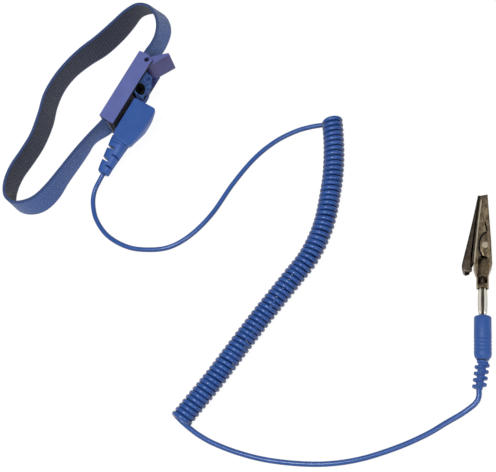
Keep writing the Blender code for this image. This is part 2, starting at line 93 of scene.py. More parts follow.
LAYOUT = Matrix.Translation(place(0, 0)) @ Matrix.Scale(MM, 4)
CLIP = clip_line()
CLIP_RELIEF = (CLIP @ Matrix.Translation(CLIP_RELIEF_TIP)
               @ Matrix.Rotation(radians(CLIP_RELIEF_BEND_DEG), 4, "Z"))


# ---------------------------------------------------------------- camera, light and floor
EYE = (-175.68, -306.07, 492.13)
AIM = (-33.72, -125.77, 0.0)
UP_HINT = (0.844, 0.378, 0.382)
MIDDLE = (-33.7, -125.8)
KEY_FROM = (-0.2, 0.05, 0.98)          # metres from the middle
FRONT_FROM = (-0.3, -0.68, 0.68)
FLOOR_Z = -0.00006
FLOOR_GREY = 0.10


def make_camera():
    data = bpy.data.cameras.new("camera")
    data.lens = 72.58
    data.sensor_width = 36.0
    data.clip_start = 0.01
    data.clip_end = 10.0
    camera = bpy.data.objects.new("camera", data)
    bpy.context.scene.collection.objects.link(camera)
    eye = place(*EYE)
    back = (eye - place(*AIM)).normalized()
    right = Vector(UP_HINT).cross(back).normalized()
    up = back.cross(right)
    camera.matrix_world = Matrix.Translation(eye) @ Matrix((right, up, back)).transposed().to_4x4()
    bpy.context.scene.camera = camera


def add_area(name, offset, size, energy):
    """A square lamp at an offset from the middle of the things, turned to it."""
    data = bpy.data.lights.new(name, "AREA")
    data.size = size
    data.energy = energy
    lamp = bpy.data.objects.new(name, data)
    lamp.location = place(*MIDDLE) + Vector(offset)
    lamp.rotation_mode = "QUATERNION"
    lamp.rotation_quaternion = Vector(offset).to_track_quat("Z", "Y")
    bpy.context.scene.collection.objects.link(lamp)


def make_lights():
    world = bpy.data.worlds.new("studio")
    world.use_nodes = True
    background = world.node_tree.nodes["Background"]
    background.inputs["Color"].default_value = (1.0, 1.0, 1.0, 1.0)
    background.inputs["Strength"].default_value = 0.2
    bpy.context.scene.world = world
    bpy.context.scene.view_settings.view_transform = "Standard"
    add_area("key", KEY_FROM, 0.22, 6.2)
    add_area("front", FRONT_FROM, 0.2, 1.8)


def make_floor():
    mesh = bpy.data.meshes.new("floor")
    work = bmesh.new()
    bmesh.ops.create_grid(work, x_segments=1, y_segments=1, size=3.0)
    work.to_mesh(mesh)
    work.free()
    floor = bpy.data.objects.new("floor", mesh)
    floor.location = (0.0, 0.0, FLOOR_Z)
    bpy.context.scene.collection.objects.link(floor)
    mat = bpy.data.materials.new("white_paper")
    mat.use_nodes = True
    shader = mat.node_tree.nodes["Principled BSDF"]
    shader.inputs["Base Color"].default_value = (FLOOR_GREY, FLOOR_GREY, FLOOR_GREY, 1.0)
    shader.inputs["Roughness"].default_value = 1.0
    shader.inputs["Specular IOR Level"].default_value = 0.0
    shader.inputs["Emission Color"].default_value = (1.0, 1.0, 1.0, 1.0)
    shader.inputs["Emission Strength"].default_value = 0.95
    mesh.materials.append(mat)


# ---------------------------------------------------------------- materials
def new_material(name, roughness, metallic=0.0, specular=0.5, coat=0.0, sheen=0.0):
    mat = bpy.data.materials.new(name)
    mat.use_nodes = True
    shader = mat.node_tree.nodes["Principled BSDF"]
    shader.inputs["Roughness"].default_value = roughness
    shader.inputs["Metallic"].default_value = metallic
    shader.inputs["Specular IOR Level"].default_value = specular
    shader.inputs["Coat Weight"].default_value = coat
    shader.inputs["Coat Roughness"].default_value = 0.2
    shader.inputs["Sheen Weight"].default_value = sheen
    shader.inputs["Sheen Roughness"].default_value = 0.5
    return mat, mat.node_tree, shader


def add_node(tree, kind, **values):
    made = tree.nodes.new("ShaderNode" + kind)
    for key, value in values.items():
        setattr(made, key, value)
    return made


def noise_of(tree, coords, scale, detail=3.0, roughness=0.55):
    made = add_node(tree, "TexNoise")
    made.inputs["Scale"].default_value = scale
    made.inputs["Detail"].default_value = detail
    made.inputs["Roughness"].default_value = roughness
    tree.links.new(coords, made.inputs["Vector"])
    return made.outputs["Fac"]


def ramp(tree, value, stops):
    made = add_node(tree, "ValToRGB")
    made.color_ramp.elements[0].position = stops[0][0]
    made.color_ramp.elements[0].color = (*stops[0][1], 1.0)
    made.color_ramp.elements[1].position = stops[-1][0]
    made.color_ramp.elements[1].color = (*stops[-1][1], 1.0)
    for position, colour in stops[1:-1]:
        made.color_ramp.elements.new(position).color = (*colour, 1.0)
    tree.links.new(value, made.inputs["Fac"])
    return made.outputs["Color"]


def math_node(tree, operation, a, b=0.0):
    made = add_node(tree, "Math", operation=operation)
    for socket, value in zip(made.inputs, (a, b)):
        if isinstance(value, (int, float)):
            socket.default_value = value
        else:
            tree.links.new(value, socket)
    return made.outputs["Value"]


def mix(tree, factor, a, b):
    made = add_node(tree, "Mix", data_type="RGBA")
    sockets = [s for s in made.inputs if s.enabled]
    for socket, value in zip(sockets, (factor, a, b)):
        if isinstance(value, (int, float)):
            socket.default_value = value
        elif isinstance(value, tuple):
            socket.default_value = (*value, 1.0)
        else:
            tree.links.new(value, socket)
    return [s for s in made.outputs if s.enabled][0]


def bump(tree, shader, height, distance, strength=1.0):
    made = add_node(tree, "Bump")
    made.inputs["Strength"].default_value = strength
    made.inputs["Distance"].default_value = distance
    tree.links.new(height, made.inputs["Height"])
    tree.links.new(made.outputs["Normal"], shader.inputs["Normal"])


def vary_roughness(tree, shader, value, roughness, spread):
    """Roughness that goes from half the spread below the given one to half of it above."""
    rough = math_node(tree, "MULTIPLY_ADD", value, spread)
    rough.node.inputs[2].default_value = roughness - spread / 2
    tree.links.new(rough, shader.inputs["Roughness"])


def moulded(name, light, dark, roughness, scale=420.0, grain=0.00003, flank_painted_shade=None, **extra):
    """Moulded plastic: two close shades in soft patches, a fine satin grain; its sides may be darker with
    painted shade, the more so the less a face looks up.
    """
    mat, tree, shader = new_material(name, roughness, **extra)
    coords = add_node(tree, "TexCoord").outputs["Object"]
    patches = noise_of(tree, coords, scale * 0.25)
    colour = ramp(tree, patches, [(0.3, dark), (0.7, light)])
    if flank_painted_shade:
        # painted shade: faces that look sideways or down take the given darker colour
        upright = add_node(tree, "SeparateXYZ")
        tree.links.new(add_node(tree, "TexCoord").outputs["Normal"], upright.inputs["Vector"])
        share = ramp(tree, upright.outputs["Z"], [(0.15, (0.0, 0.0, 0.0)), (0.85, (1.0, 1.0, 1.0))])
        colour = mix(tree, share, flank_painted_shade, colour)
    tree.links.new(colour, shader.inputs["Base Color"])
    vary_roughness(tree, shader, noise_of(tree, coords, scale * 1.5), roughness, 0.18)
    bump(tree, shader, noise_of(tree, coords, scale * 8.0, 2.0), grain)
    return mat


def metal(name, light, dark, roughness, worn=0.5, stretch=(1.0, 1.0, 1.0), scale=500.0):
    """Plated or aged metal: worn patches, fine scratches along one direction."""
    mat, tree, shader = new_material(name, roughness, metallic=1.0)
    coords = add_node(tree, "TexCoord").outputs["Object"]
    mapping = add_node(tree, "Mapping")
    mapping.inputs["Scale"].default_value = stretch
    tree.links.new(coords, mapping.inputs["Vector"])
    patches = noise_of(tree, coords, scale * 0.5, 5.0, 0.6)
    lines = noise_of(tree, mapping.outputs["Vector"], scale * 4.0, 3.0)
    both = math_node(tree, "ADD", math_node(tree, "MULTIPLY", patches, 1.0 - worn * 0.5),
                     math_node(tree, "MULTIPLY", lines, worn * 0.5))
    colour = ramp(tree, both, [(0.36, dark), (0.62, light)])
    tree.links.new(colour, shader.inputs["Base Color"])
    vary_roughness(tree, shader, lines, roughness, 0.22)
    bump(tree, shader, both, 0.00002)
    return mat


def woven(name, warp, weft, gap, rib=1.25, row=0.95, depth=0.00016, cross=0.0, speck=None):
    """Webbing seen on its face; U runs along the band and V across it, both in millimetres."""
    mat, tree, shader = new_material(name, 0.85, specular=0.25, sheen=0.25)
    uv = add_node(tree, "UVMap", uv_map="webbing").outputs["UV"]
    parts = add_node(tree, "SeparateXYZ")
    tree.links.new(uv, parts.inputs["Vector"])
    along, across = parts.outputs["X"], parts.outputs["Y"]
    wobble = noise_of(tree, uv, 0.9, 2.0)
    column = math_node(tree, "ADD", math_node(tree, "MULTIPLY", across, 1.0 / row),
                       math_node(tree, "MULTIPLY", wobble, 0.35))
    # every second column of loops is set half a loop on
    half = math_node(tree, "MULTIPLY", math_node(tree, "MODULO", math_node(tree, "FLOOR", column), 2.0),
                     0.5)
    turn = math_node(tree, "ADD", math_node(tree, "MULTIPLY", along, 1.0 / rib), half)
    loop = math_node(tree, "ABSOLUTE", math_node(tree, "SINE", math_node(tree, "MULTIPLY", turn, pi)))
    yarn = math_node(tree, "ABSOLUTE", math_node(tree, "SINE", math_node(tree, "MULTIPLY", column, pi)))
    height = math_node(tree, "MULTIPLY", math_node(tree, "POWER", loop, 0.6),
                       math_node(tree, "POWER", yarn, 0.5))
    fuzz = noise_of(tree, uv, 2.2, 4.0, 0.7)
    shade = math_node(tree, "ADD", math_node(tree, "MULTIPLY", height, 0.75),
                      math_node(tree, "MULTIPLY", fuzz, 0.5))
    colour = ramp(tree, shade, [(0.18, gap), (0.55, weft), (0.95, warp)])
    if cross:
        # coloured threads that run across the band
        thread = math_node(tree, "ADD", math_node(tree, "MULTIPLY", along, 1.0 / cross),
                           math_node(tree, "MULTIPLY", wobble, 0.5))
        peak = math_node(tree, "POWER", math_node(tree, "ABSOLUTE", math_node(
            tree, "SINE", math_node(tree, "MULTIPLY", thread, pi))), 6.0)
        broken = math_node(tree, "MULTIPLY", peak, math_node(tree, "GREATER_THAN", fuzz, 0.5))
        colour = mix(tree, math_node(tree, "MULTIPLY", broken, 0.7), colour, speck)
    tree.links.new(colour, shader.inputs["Base Color"])
    bump(tree, shader, height, depth)
    return mat


def textiles():
    return {
        "outer": woven("band_outer_weave", (0.075, 0.155, 0.42), (0.040, 0.090, 0.28),
                       (0.012, 0.030, 0.11)),
        # the inner face's own charcoal, darkened further: partly painted shade
        "inner": woven("band_inner_weave", (0.030, 0.036, 0.066), (0.015, 0.019, 0.038),
                       (0.004, 0.005, 0.012), rib=1.5, row=1.1, cross=1.8, speck=(0.075, 0.085, 0.16)),
        "selvedge": woven("band_edge_weave", (0.055, 0.100, 0.27), (0.026, 0.055, 0.17),
                          (0.008, 0.018, 0.07), row=0.6),
        "crumpled": moulded("band_end_blue", (0.080, 0.170, 0.47), (0.014, 0.034, 0.14), 0.8,
                            scale=1900.0, grain=0.0003, specular=0.25),
    }


def plastics():
    return {
        "clasp": moulded("clasp_purple_plastic", (0.130, 0.162, 0.440), (0.108, 0.136, 0.390), 0.5),
        "lever": moulded("lever_purple_plastic", (0.128, 0.150, 0.420), (0.104, 0.124, 0.360), 0.5),
        # painted shade: a darker purple for the lever's upright faces
        "lever_shaded_side": moulded("lever_side_painted_shade", (0.070, 0.066, 0.230), (0.050, 0.047, 0.168), 0.6),
        "pvc": moulded("plug_blue_pvc", (0.036, 0.112, 0.390), (0.028, 0.094, 0.345), 0.5,
                       specular=0.35),
        # painted shade: the cord's sides and underside take a darker blue
        "jacket": moulded("cord_blue_jacket", (0.036, 0.112, 0.390), (0.026, 0.092, 0.340), 0.32,
                          specular=0.4, coat=0.2, flank_painted_shade=(0.010, 0.034, 0.150)),
        "boot": moulded("boot_blue_pvc", (0.040, 0.112, 0.380), (0.032, 0.094, 0.335), 0.5,
                        specular=0.35),
        "resistor": moulded("resistor_body", (0.60, 0.50, 0.34), (0.52, 0.42, 0.27), 0.5),
        # painted shade for the clasp's channel and web
        "shadow": moulded("clasp_inside_painted_shade", (0.030, 0.028, 0.042), (0.018, 0.017, 0.026), 0.7),
        # painted shade: near-black for the walls of carved hollows and grooves
        "hollow_shade": moulded("hollow_painted_shade", (0.010, 0.009, 0.010), (0.005, 0.005, 0.006), 0.8,
                          specular=0.1),
    }


def metals():
    rolled = (0.25, 1.0, 1.0)
    return {
        "steel": metal("stainless_steel", (0.68, 0.68, 0.70), (0.48, 0.48, 0.50), 0.32),
        "pin": metal("steel_pin", (0.55, 0.55, 0.57), (0.38, 0.38, 0.40), 0.35),
        # painted shade: a near-black lever pin, so its end reads as a dark hole
        "pin_hole_shade": metal("pin_painted_hole_shade", (0.060, 0.062, 0.085), (0.025, 0.026, 0.040), 0.5),
        "nickel": metal("nickel_plate", (0.86, 0.82, 0.74), (0.62, 0.58, 0.50), 0.22, 0.3),
        # painted reflection: a near-white, barely metallic base stands in for the spring rods' shine;
        # painted shade darkens their sides
        "bright": moulded("nickel_painted_reflection", (0.92, 0.89, 0.80), (0.80, 0.76, 0.66), 0.25,
                          metallic=0.3, flank_painted_shade=(0.10, 0.085, 0.06)),
        "brass": metal("brass", (0.80, 0.62, 0.30), (0.60, 0.44, 0.20), 0.35),
        "aged": metal("aged_nickel", (0.420, 0.325, 0.210), (0.085, 0.064, 0.040), 0.36, 0.7, rolled,
                      scale=700.0),
        # painted shade: aged nickel darkened further for the lower, nested moving jaw, its sheath and the
        # pin's seam
        "aged_painted_shade": metal("aged_nickel_painted_shade", (0.135, 0.108, 0.082), (0.050, 0.040, 0.030), 0.4, 0.7,
                           rolled, scale=700.0),
        # painted highlight: a pale, half-metallic colour for the jaw's rim and tab strips and the clip
        # rivet
        "worn": moulded("pale_metal_painted_highlight", (0.62, 0.55, 0.42), (0.40, 0.34, 0.24), 0.35, metallic=0.4),
    }


SHADE = {**textiles(), **plastics(), **metals()}


# ---------------------------------------------------------------- geometry helpers
def length_of(points):
    return sum((b - a).length for a, b in zip(points, points[1:]))


def smooth_route(points, step):
    """Points about one step apart on a smooth curve through the given points."""
    route = [Vector(p) for p in points]
    route = [2 * route[0] - route[1]] + route + [2 * route[-1] - route[-2]]
    result = []
    for a, b, c, d in zip(route, route[1:], route[2:], route[3:]):
        count = max(1, round((c - b).length / step))
        for i in range(count):
            t = i / count
            result.append(0.5 * (2 * b + (c - a) * t + (2 * a - 5 * b + 4 * c - d) * t ** 2
                                 + (3 * b - a - 3 * c + d) * t ** 3))
    result.append(route[-2])
    return result


def rounded(points, radius, steps=4):
    """A closed outline with each corner replaced by an arc of the given radius."""
    result = []
    count = len(points)
    for i, corner in enumerate(points):
        here = Vector(corner)
        before = Vector(points[i - 1]) - here
        after = Vector(points[(i + 1) % count]) - here
        reach = min(radius, 0.45 * before.length, 0.45 * after.length)
        start = here + before.normalized() * reach
        end = here + after.normalized() * reach
        for k in range(steps + 1):
            t = k / steps
            result.append(start * (1 - t) ** 2 + here * 2 * t * (1 - t) + end * t ** 2)
    return result


def add_piece(name, work, material, matrix=LAYOUT, angle=35.0):
    """Puts a bmesh in the scene: its numbers are those of matrix, and its vertices end in the frame."""
    bmesh.ops.transform(work, matrix=matrix, verts=work.verts)
    bmesh.ops.recalc_face_normals(work, faces=work.faces)
    mesh = bpy.data.meshes.new(name)
    work.to_mesh(mesh)
    work.free()
    for shade in material if isinstance(material, list) else [material]:
        mesh.materials.append(shade)
    mesh.polygons.foreach_set("use_smooth", [True] * len(mesh.polygons))
    mesh.set_sharp_from_angle(angle=radians(angle))
    obj = bpy.data.objects.new(name, mesh)
    bpy.context.scene.collection.objects.link(obj)
    return obj


def attach(obj, body, slot, *nodes):
    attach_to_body(obj, body)
    if nodes:
        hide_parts(*nodes)
    return obj


def closed_line(points, step):
    """A flat outline made smooth, through the given corners."""
    return [(p[0], p[1]) for p in smooth_route([(*p, 0.0) for p in points + points[:1]], step)][:-1]


def smooth_rows(rows, steps):
    """Rows of numbers made denser, each column on a smooth curve."""
    result = []
    padded = [[2 * a - b for a, b in zip(rows[0], rows[1])]] + [list(r) for r in rows]
    padded.append([2 * a - b for a, b in zip(rows[-1], rows[-2])])
    for a, b, c, d in zip(padded, padded[1:], padded[2:], padded[3:]):
        for i in range(steps):
            t = i / steps
            result.append([0.5 * (2 * q + (r - p) * t + (2 * p - 5 * q + 4 * r - w) * t * t
                                  + (3 * q - p - 3 * r + w) * t ** 3)
                           for p, q, r, w in zip(a, b, c, d)])
    result.append(list(rows[-1]))
    return result


def skin(work, rings, closed_ends=True):
    """Joins rings of equally many points into a tube."""
    rows = [[work.verts.new(p) for p in ring] for ring in rings]
    for a, b in zip(rows, rows[1:]):
        count = len(a)
        for i in range(count):
            j = (i + 1) % count
            work.faces.new((a[i], a[j], b[j], b[i]))
    if closed_ends:
        work.faces.new(list(reversed(rows[0])))
        work.faces.new(rows[-1])
    return rows


def prism(points, low, high):
    """A bmesh of a flat outline between two heights."""
    work = bmesh.new()
    skin(work, [[(p[0], p[1], low) for p in points], [(p[0], p[1], high) for p in points]])
    return work


def box_points(x0, x1, y0, y1):
    return [(x0, y0), (x1, y0), (x1, y1), (x0, y1)]


def ring_at(points, z, outset=0.0):
    """A clockwise outline at a height, moved outwards."""
    count = len(points)
    result = []
    for i in range(count):
        run = (Vector(points[(i + 1) % count]) - Vector(points[i - 1])).normalized()
        result.append(Vector((points[i][0] - run[1] * outset, points[i][1] + run[0] * outset, z)))
    return result


def turned_rings(profile, steps):
    """Rings about X, from pairs of a place along it and a radius."""
    return [[(h, r * cos(2 * pi * i / steps), r * sin(2 * pi * i / steps)) for i in range(steps)]
            for h, r in profile]


def carve(obj, *cutters):
    """Cuts the given pieces out of obj for good."""
    for cutter in cutters:
        mod = obj.modifiers.new("carve", "BOOLEAN")
        mod.operation = "DIFFERENCE"
        mod.solver = "EXACT"
        mod.material_mode = "TRANSFER"
        mod.object = cutter
    bpy.context.view_layer.update()
    graph = bpy.context.evaluated_depsgraph_get()
    mesh = bpy.data.meshes.new_from_object(obj.evaluated_get(graph))
    obj.modifiers.clear()
    obj.data = mesh
    for cutter in cutters:
        bpy.data.objects.remove(cutter)


def join(pieces):
    """All the pieces become part of the first one."""
    with bpy.context.temp_override(active_object=pieces[0], selected_objects=pieces,
                                   selected_editable_objects=pieces):
        bpy.ops.object.join()


def soften(obj, width, segments=3, angle=35.0):
    mod = obj.modifiers.new("rounded_edges", "BEVEL")
    mod.width = width * MM
    mod.segments = segments
    mod.limit_method = "ANGLE"
    mod.angle_limit = radians(angle)


def detail(node, material, slot, edge, segments=2, angle=30.0):
    """The CAD node's own shape with softened edges, in its place."""
    source = frame["nodes"][node]
    work = bmesh.new()
    work.from_mesh(source.data)
    bmesh.ops.remove_doubles(work, verts=work.verts, dist=1e-7)
    bmesh.ops.dissolve_limit(work, angle_limit=radians(1.0), verts=work.verts, edges=work.edges)
    mesh = bpy.data.meshes.new(node + "_look")
    work.to_mesh(mesh)
    work.free()
    mesh.materials.append(material)
    mesh.polygons.foreach_set("use_smooth", [True] * len(mesh.polygons))
    mesh.polygons.foreach_set("material_index", [0] * len(mesh.polygons))
    mesh.set_sharp_from_angle(angle=radians(angle))
    obj = bpy.data.objects.new(node + "_look", mesh)
    bpy.context.scene.collection.objects.link(obj)
    if edge:
        soften(obj, edge, segments, angle)
    return attach(obj, source["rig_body"], slot, node)


# ---------------------------------------------------------------- cord
SNAP_LEAD_ROUTE = [
    (-36.1, -33.2, 5.9), (-40.5, -32.7, 4.6), (-46.5, -32.4, 2.6), (-53.4, -35.2, 1.5),
    (-61.0, -42.3, 1.35), (-66.6, -53.6, 1.35), (-67.6, -67.4, 1.35), (-64.0, -79.5, 1.35),
    (-57.6, -89.6, 1.35), (-46.6, -96.8, 1.35), (-30.8, -101.5, 1.35), (-10.0, -103.5, 1.35),
    (8.4, -107.1, 1.35), (22.5, -113.0, 1.35), (32.8, -120.6, 1.35), (38.5, -127.0, 1.35),
    (42.2, -132.6, 1.35), (45.4, -138.0, 1.35),
]
COIL_ROUTE = [
    (45.4, -138.0), (37.5, -142.7), (29.1, -147.3), (18.2, -152.4), (6.9, -156.6), (-12.8, -162.2),
    (-31.3, -163.4), (-48.1, -160.6), (-71.4, -156.2), (-90.5, -153.0), (-111.4, -149.7),
    (-126.8, -146.6), (-138.2, -144.2),
]
CLIP_LEAD_ROUTE = [
    (-138.2, -144.2, 1.35), (-139.3, -149.4, 1.35), (-140.2, -155.6, 1.35),
    (-140.4, -164.0, 1.35), (-139.0, -177.0, 1.35),
    (-135.6, -192.0, 1.35), (-129.4, -208.6, 1.35), (-122.4, -222.1, 1.35), (-113.4, -234.4, 1.35),
    (-101.0, -247.0, 1.35), (-89.6, -256.4, 1.35), (-80.4, -262.4, 1.4), (-73.0, -267.4, 1.9),
    (-66.4, -271.0, 3.2), (-62.7, -271.4, 4.2), (-59.0, -269.9, 4.6),
]
TURN_STEPS = 24
COIL_SPREAD = 0.07         # the turns lie this much wider apart at the coil's start, closer at its end
LOOSE = 0.012              # part of the turn's radius
SLIP = 0.28                # how far a turn's top may lean along the coil


def along(route, distance):
    """Point and direction at a distance along a list of points."""
    for a, b in zip(route, route[1:]):
        step = (b - a).length
        if distance <= step:
            return a.lerp(b, distance / step), (b - a).normalized()
        distance -= step
    return route[-1].copy(), (route[-1] - route[-2]).normalized()


def coil_points():
    """The helix starts and ends at its lowest point, heading across the coil's axis."""
    axis = smooth_route([(x, y, COIL_AXIS_Z) for x, y in COIL_ROUTE], 1.0)
    total = length_of(axis)
    count = COIL_TURNS * TURN_STEPS
    result = []
    for i in range(count + 1):
        turn = 2 * pi * i / TURN_STEPS
        share = i / count
        centre, run = along(axis, total * (share + COIL_SPREAD * share * (1 - share)))
        side = Vector((-run[1], run[0], 0.0))
        loose = 1.0 + LOOSE * noise.noise((i / TURN_STEPS * 0.35, 3.7, 0.0))
        slip = SLIP * noise.noise((i / TURN_STEPS * 0.6, 0.0, 8.1))
        point = centre + TURN_R * loose * (side * sin(turn) - Vector((0, 0, 1)) * cos(turn))
        point += run * slip * (1 - cos(turn)) * 0.5
        point.z = max(point.z, CORD_R)
        result.append(point)
    return result


def make_cord():
    lead_a = smooth_route(SNAP_LEAD_ROUTE, 1.6)
    lead_b = smooth_route(CLIP_LEAD_ROUTE, 1.6)
    points = [LAYOUT @ p for p in lead_a[:-1] + coil_points() + lead_b[1:]]
    data = bpy.data.curves.new("cord", "CURVE")
    data.dimensions = "3D"
    data.bevel_depth = CORD_R * MM
    data.bevel_resolution = 6
    data.use_fill_caps = True
    data.twist_mode = "MINIMUM"
    spline = data.splines.new("POLY")
    spline.points.add(len(points) - 1)
    for target, point in zip(spline.points, points):
        target.co = (*point, 1.0)
    spline.use_smooth = True
    data.materials.append(SHADE["jacket"])
    cord = bpy.data.objects.new("cord_look", data)
    bpy.context.scene.collection.objects.link(cord)
    attach(cord, "cord", "cord_jacket", "cord_snap_end", "cord_coil", "cord_clip_end")
    return cord, length_of(points)


# ---------------------------------------------------------------- band
BAND_ROUTE = [                         # x, y, outward lean of the lower edge, height of that edge
    (-5.8, -20.9, 0, 1.5), (-10.4, -20.8, 0, 1.5), (-20, -18.0, -2.9, 0.6), (-27, -16.3, -1.7, 0.3),
    (-34, -14.8, -0.6, 0), (-47, -13.0, 0.4, 0), (-58, -11.2, 2.4, 0), (-66.5, -8.6, 2.4, 0),
    (-72, -4.0, 1.2, 0), (-74.8, 2.0, -0.3, 0), (-73, 8.4, -0.6, 0), (-66.2, 13.0, -1.0, 0),
    (-56.4, 15.2, -1.4, 0), (-45, 15.0, -1.8, 0), (-34, 15.4, -2.2, 0), (-21, 18.6, -3.0, 0),
    (-9, 22.4, -2.4, 0), (3, 23.2, -1.0, 0), (14.3, 21.9, -0.9, 0), (26, 18.8, -2.6, 0),
    (37, 14.2, -4.2, 0), (49, 10.2, -4.0, 0), (59.5, 6.8, -2.2, 0), (66.2, 2.2, 2.2, 0),
    (67.6, -4.6, 5.4, 0), (64.8, -10.6, 6.0, 0), (60.2, -15.6, 4.6, 0), (54, -19.2, 2.2, 0.3),
    (47, -21.0, 0.6, 0.9), (38, -20.9, 0, 1.5), (30, -20.9, 0, 1.5), (23.6, -21.1, 0, 1.5),
    (20.2, -22.6, 0, 1.5),
]
FIXED_HEM_ROUTE = [
    (-5.5, -20.9), (-3.7, -21.5), (-2.9, -23.4), (-3.7, -25.2), (-5.8, -25.8),
    (-8.2, -25.1), (-10.4, -24.2),
]
OUTER, INNER, EDGE = 0, 1, 2
FACE_COLUMNS = 12
EDGE_COLUMNS = 4
BELLY = 0.14               # slow swells of the two faces
SCALLOP_DEPTH = 0.10
SCALLOP_STEP = 1.25        # along the selvedge


def strip_section():
    """Round the webbing once: across the thickness, along the width, kind of the next face."""
    half = BAND_T / 2
    section = []
    for i in range(FACE_COLUMNS):
        section.append((half, half + (BAND_W - BAND_T) * i / FACE_COLUMNS, OUTER))
    for i in range(EDGE_COLUMNS):
        a = pi * i / EDGE_COLUMNS
        section.append((half * cos(a), BAND_W - half + half * sin(a), EDGE))
    for i in range(FACE_COLUMNS):
        section.append((-half, BAND_W - half - (BAND_W - BAND_T) * i / FACE_COLUMNS, INNER))
    for i in range(EDGE_COLUMNS):
        a = pi * i / EDGE_COLUMNS
        section.append((-half * cos(a), half - half * sin(a), EDGE))
    return section


def strip_ring(here, run, travelled, section):
    """The section's points at one place of the route, with swells and a scalloped selvedge."""
    x, y, lean, lift = here
    out = Vector((-run[1], run[0], 0.0))
    low = Vector((x, y, lift + abs(lean) * 0.8 * BAND_T / BAND_W)) + out * lean
    high = Vector((x, y, lift + BAND_W))
    rise = (high - low) / BAND_W
    normal = (out - rise * out.dot(rise)).normalized()
    scallop = SCALLOP_DEPTH * sin(2 * pi * travelled / SCALLOP_STEP)
    ring = []
    for across, height, kind in section:
        middle = height / BAND_W
        belly = BELLY * sin(pi * middle) * noise.noise((travelled * 0.11, height * 0.12, 4.0))
        edge = scallop * max(0.0, abs(middle - 0.5) * 2 - 0.9) * 10
        stretch = height + (edge if middle > 0.5 else -edge) * 0.6 - 0.06 * abs(edge)
        ring.append(low + rise * min(max(stretch, 0.0), BAND_W) + normal * (across + belly))
    return ring


def webbing(name, route, turned=False):
    """A strip of woven elastic on its edge; turned swaps its outer and inner face."""
    path = smooth_route([(*p, 0.0, CLASP_LIFT) if len(p) == 2 else p for p in route], 0.5)
    section = strip_section()
    kinds = {OUTER: INNER, INNER: OUTER, EDGE: EDGE} if turned else {k: k for k in (OUTER, INNER, EDGE)}
    work = bmesh.new()
    uv = work.loops.layers.uv.new("webbing")
    rows, runs, travelled = [], [], 0.0
    for i, here in enumerate(path):
        ahead = path[min(i + 1, len(path) - 1)]
        behind = path[max(i - 1, 0)]
        run = Vector((ahead[0] - behind[0], ahead[1] - behind[1])).normalized()
        if i:
            travelled += (Vector(here[:2]) - Vector(path[i - 1][:2])).length
        rows.append([work.verts.new(p) for p in strip_ring(here, run, travelled, section)])
        runs.append(travelled)
    count = len(section)
    for k in range(len(rows) - 1):
        for i in range(count):
            j = (i + 1) % count
            face = work.faces.new((rows[k][i], rows[k][j], rows[k + 1][j], rows[k + 1][i]))
            face.material_index = kinds[section[i][2]]
            heights = (section[i][1], section[j][1], section[j][1], section[i][1])
            for loop, u, v in zip(face.loops, (runs[k], runs[k], runs[k + 1], runs[k + 1]), heights):
                loop[uv].uv = (u, v)
    for row in (list(reversed(rows[0])), rows[-1]):
        work.faces.new(row).material_index = EDGE
    return add_piece(name, work, [SHADE["outer"], SHADE["inner"], SHADE["selvedge"]])


def make_band():
    loop = webbing("band_loop_look", BAND_ROUTE)
    attach(loop, "wristband", "elastic_band", "band_loop")
    fixed = webbing("band_fixed_hem_look", FIXED_HEM_ROUTE, turned=True)
    attach(fixed, "wristband", "elastic_band", "band_fixed_hem")


# ---------------------------------------------------------------- tail hem
HEM_OUTLINE = [
    (17.6, -25.2), (21.0, -24.6), (25.0, -24.9), (28.0, -27.2), (27.2, -29.6), (26.2, -32.0),
    (24.6, -34.2), (21.6, -35.3), (17.8, -36.4), (14.2, -36.2), (12.0, -34.6), (11.8, -31.6),
    (13.4, -28.6), (15.6, -26.0),
]
HEM_HOLLOW = [
    (18.6, -28.2), (19.4, -30.4), (18.0, -33.0), (15.6, -34.6), (13.0, -34.6), (12.6, -32.0),
    (13.4, -29.6), (15.8, -28.0),
]
HEM_TAPER = 6.0            # how much nearer to the clasp the lump's foot is
HEM_Z = (1.7, 17.3)
HEM_STEPS = 22
HEM_MIDDLE = (19.5, -30.0)
HEM_FRONT_Y = -25.0        # the side next to the clasp, which does not taper
HEM_DEPTH = 9.0            # over which the taper grows
HEM_FOLD = 0.9             # broad swells
HEM_CRUMPLE = 0.28         # small ones
HOLLOW_DEPTH = 7.0


def make_tail_hem():
    """The band's end, folded over twice and crumpled, with the hollow of its loop open on top."""
    outline = closed_line(HEM_OUTLINE, 0.7)
    low, high = HEM_Z
    rings = [ring_at(outline, low, -0.9), ring_at(outline, low + 0.3, -0.3)]
    for k in range(HEM_STEPS + 1):
        rings.append(ring_at(outline, low + 0.9 + (high - low - 2.0) * k / HEM_STEPS))
    rings += [ring_at(outline, high - 0.5, -0.3), ring_at(outline, high, -1.0)]
    work = bmesh.new()
    skin(work, rings)
    for vert in work.verts:
        x, y, z = vert.co
        fold = noise.noise((x * 0.33, y * 0.33, z * 0.13))
        fine = noise.noise((x * 1.1, y * 1.1, z * 0.35 + 5.0))
        away = Vector((x - HEM_MIDDLE[0], y - HEM_MIDDLE[1], 0.0)).normalized()
        vert.co += away * (HEM_FOLD * fold + HEM_CRUMPLE * fine)
        depth = min(max((HEM_FRONT_Y - y) / HEM_DEPTH, 0.0), 1.0)
        vert.co.y += HEM_TAPER * depth * (high - z) / (high - low)
        vert.co.z += 0.5 * noise.noise((x * 0.5, y * 0.5, 2.0)) if z > high - 2.0 else 0.0
    hem = add_piece("band_tail_hem_look", work, [SHADE["crumpled"], SHADE["hollow_shade"]], angle=60.0)
    # painted shade: the carved hollow's walls take the near-black colour
    hollow = prism(closed_line(HEM_HOLLOW, 0.8), high - HOLLOW_DEPTH, high + 3.0)
    carve(hem, add_piece("hem_hollow", hollow, [SHADE["hollow_shade"]]))
    attach(hem, "wristband", "elastic_band", "band_tail_hem")
    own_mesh(hem)


# ---------------------------------------------------------------- clasp
CHANNEL_Y = (-28.7, -18.6)
CHANNEL_Z = (1.1, 17.9)
CHANNEL_END_X = 30.0
WEB_Z = (1.3, 17.7)


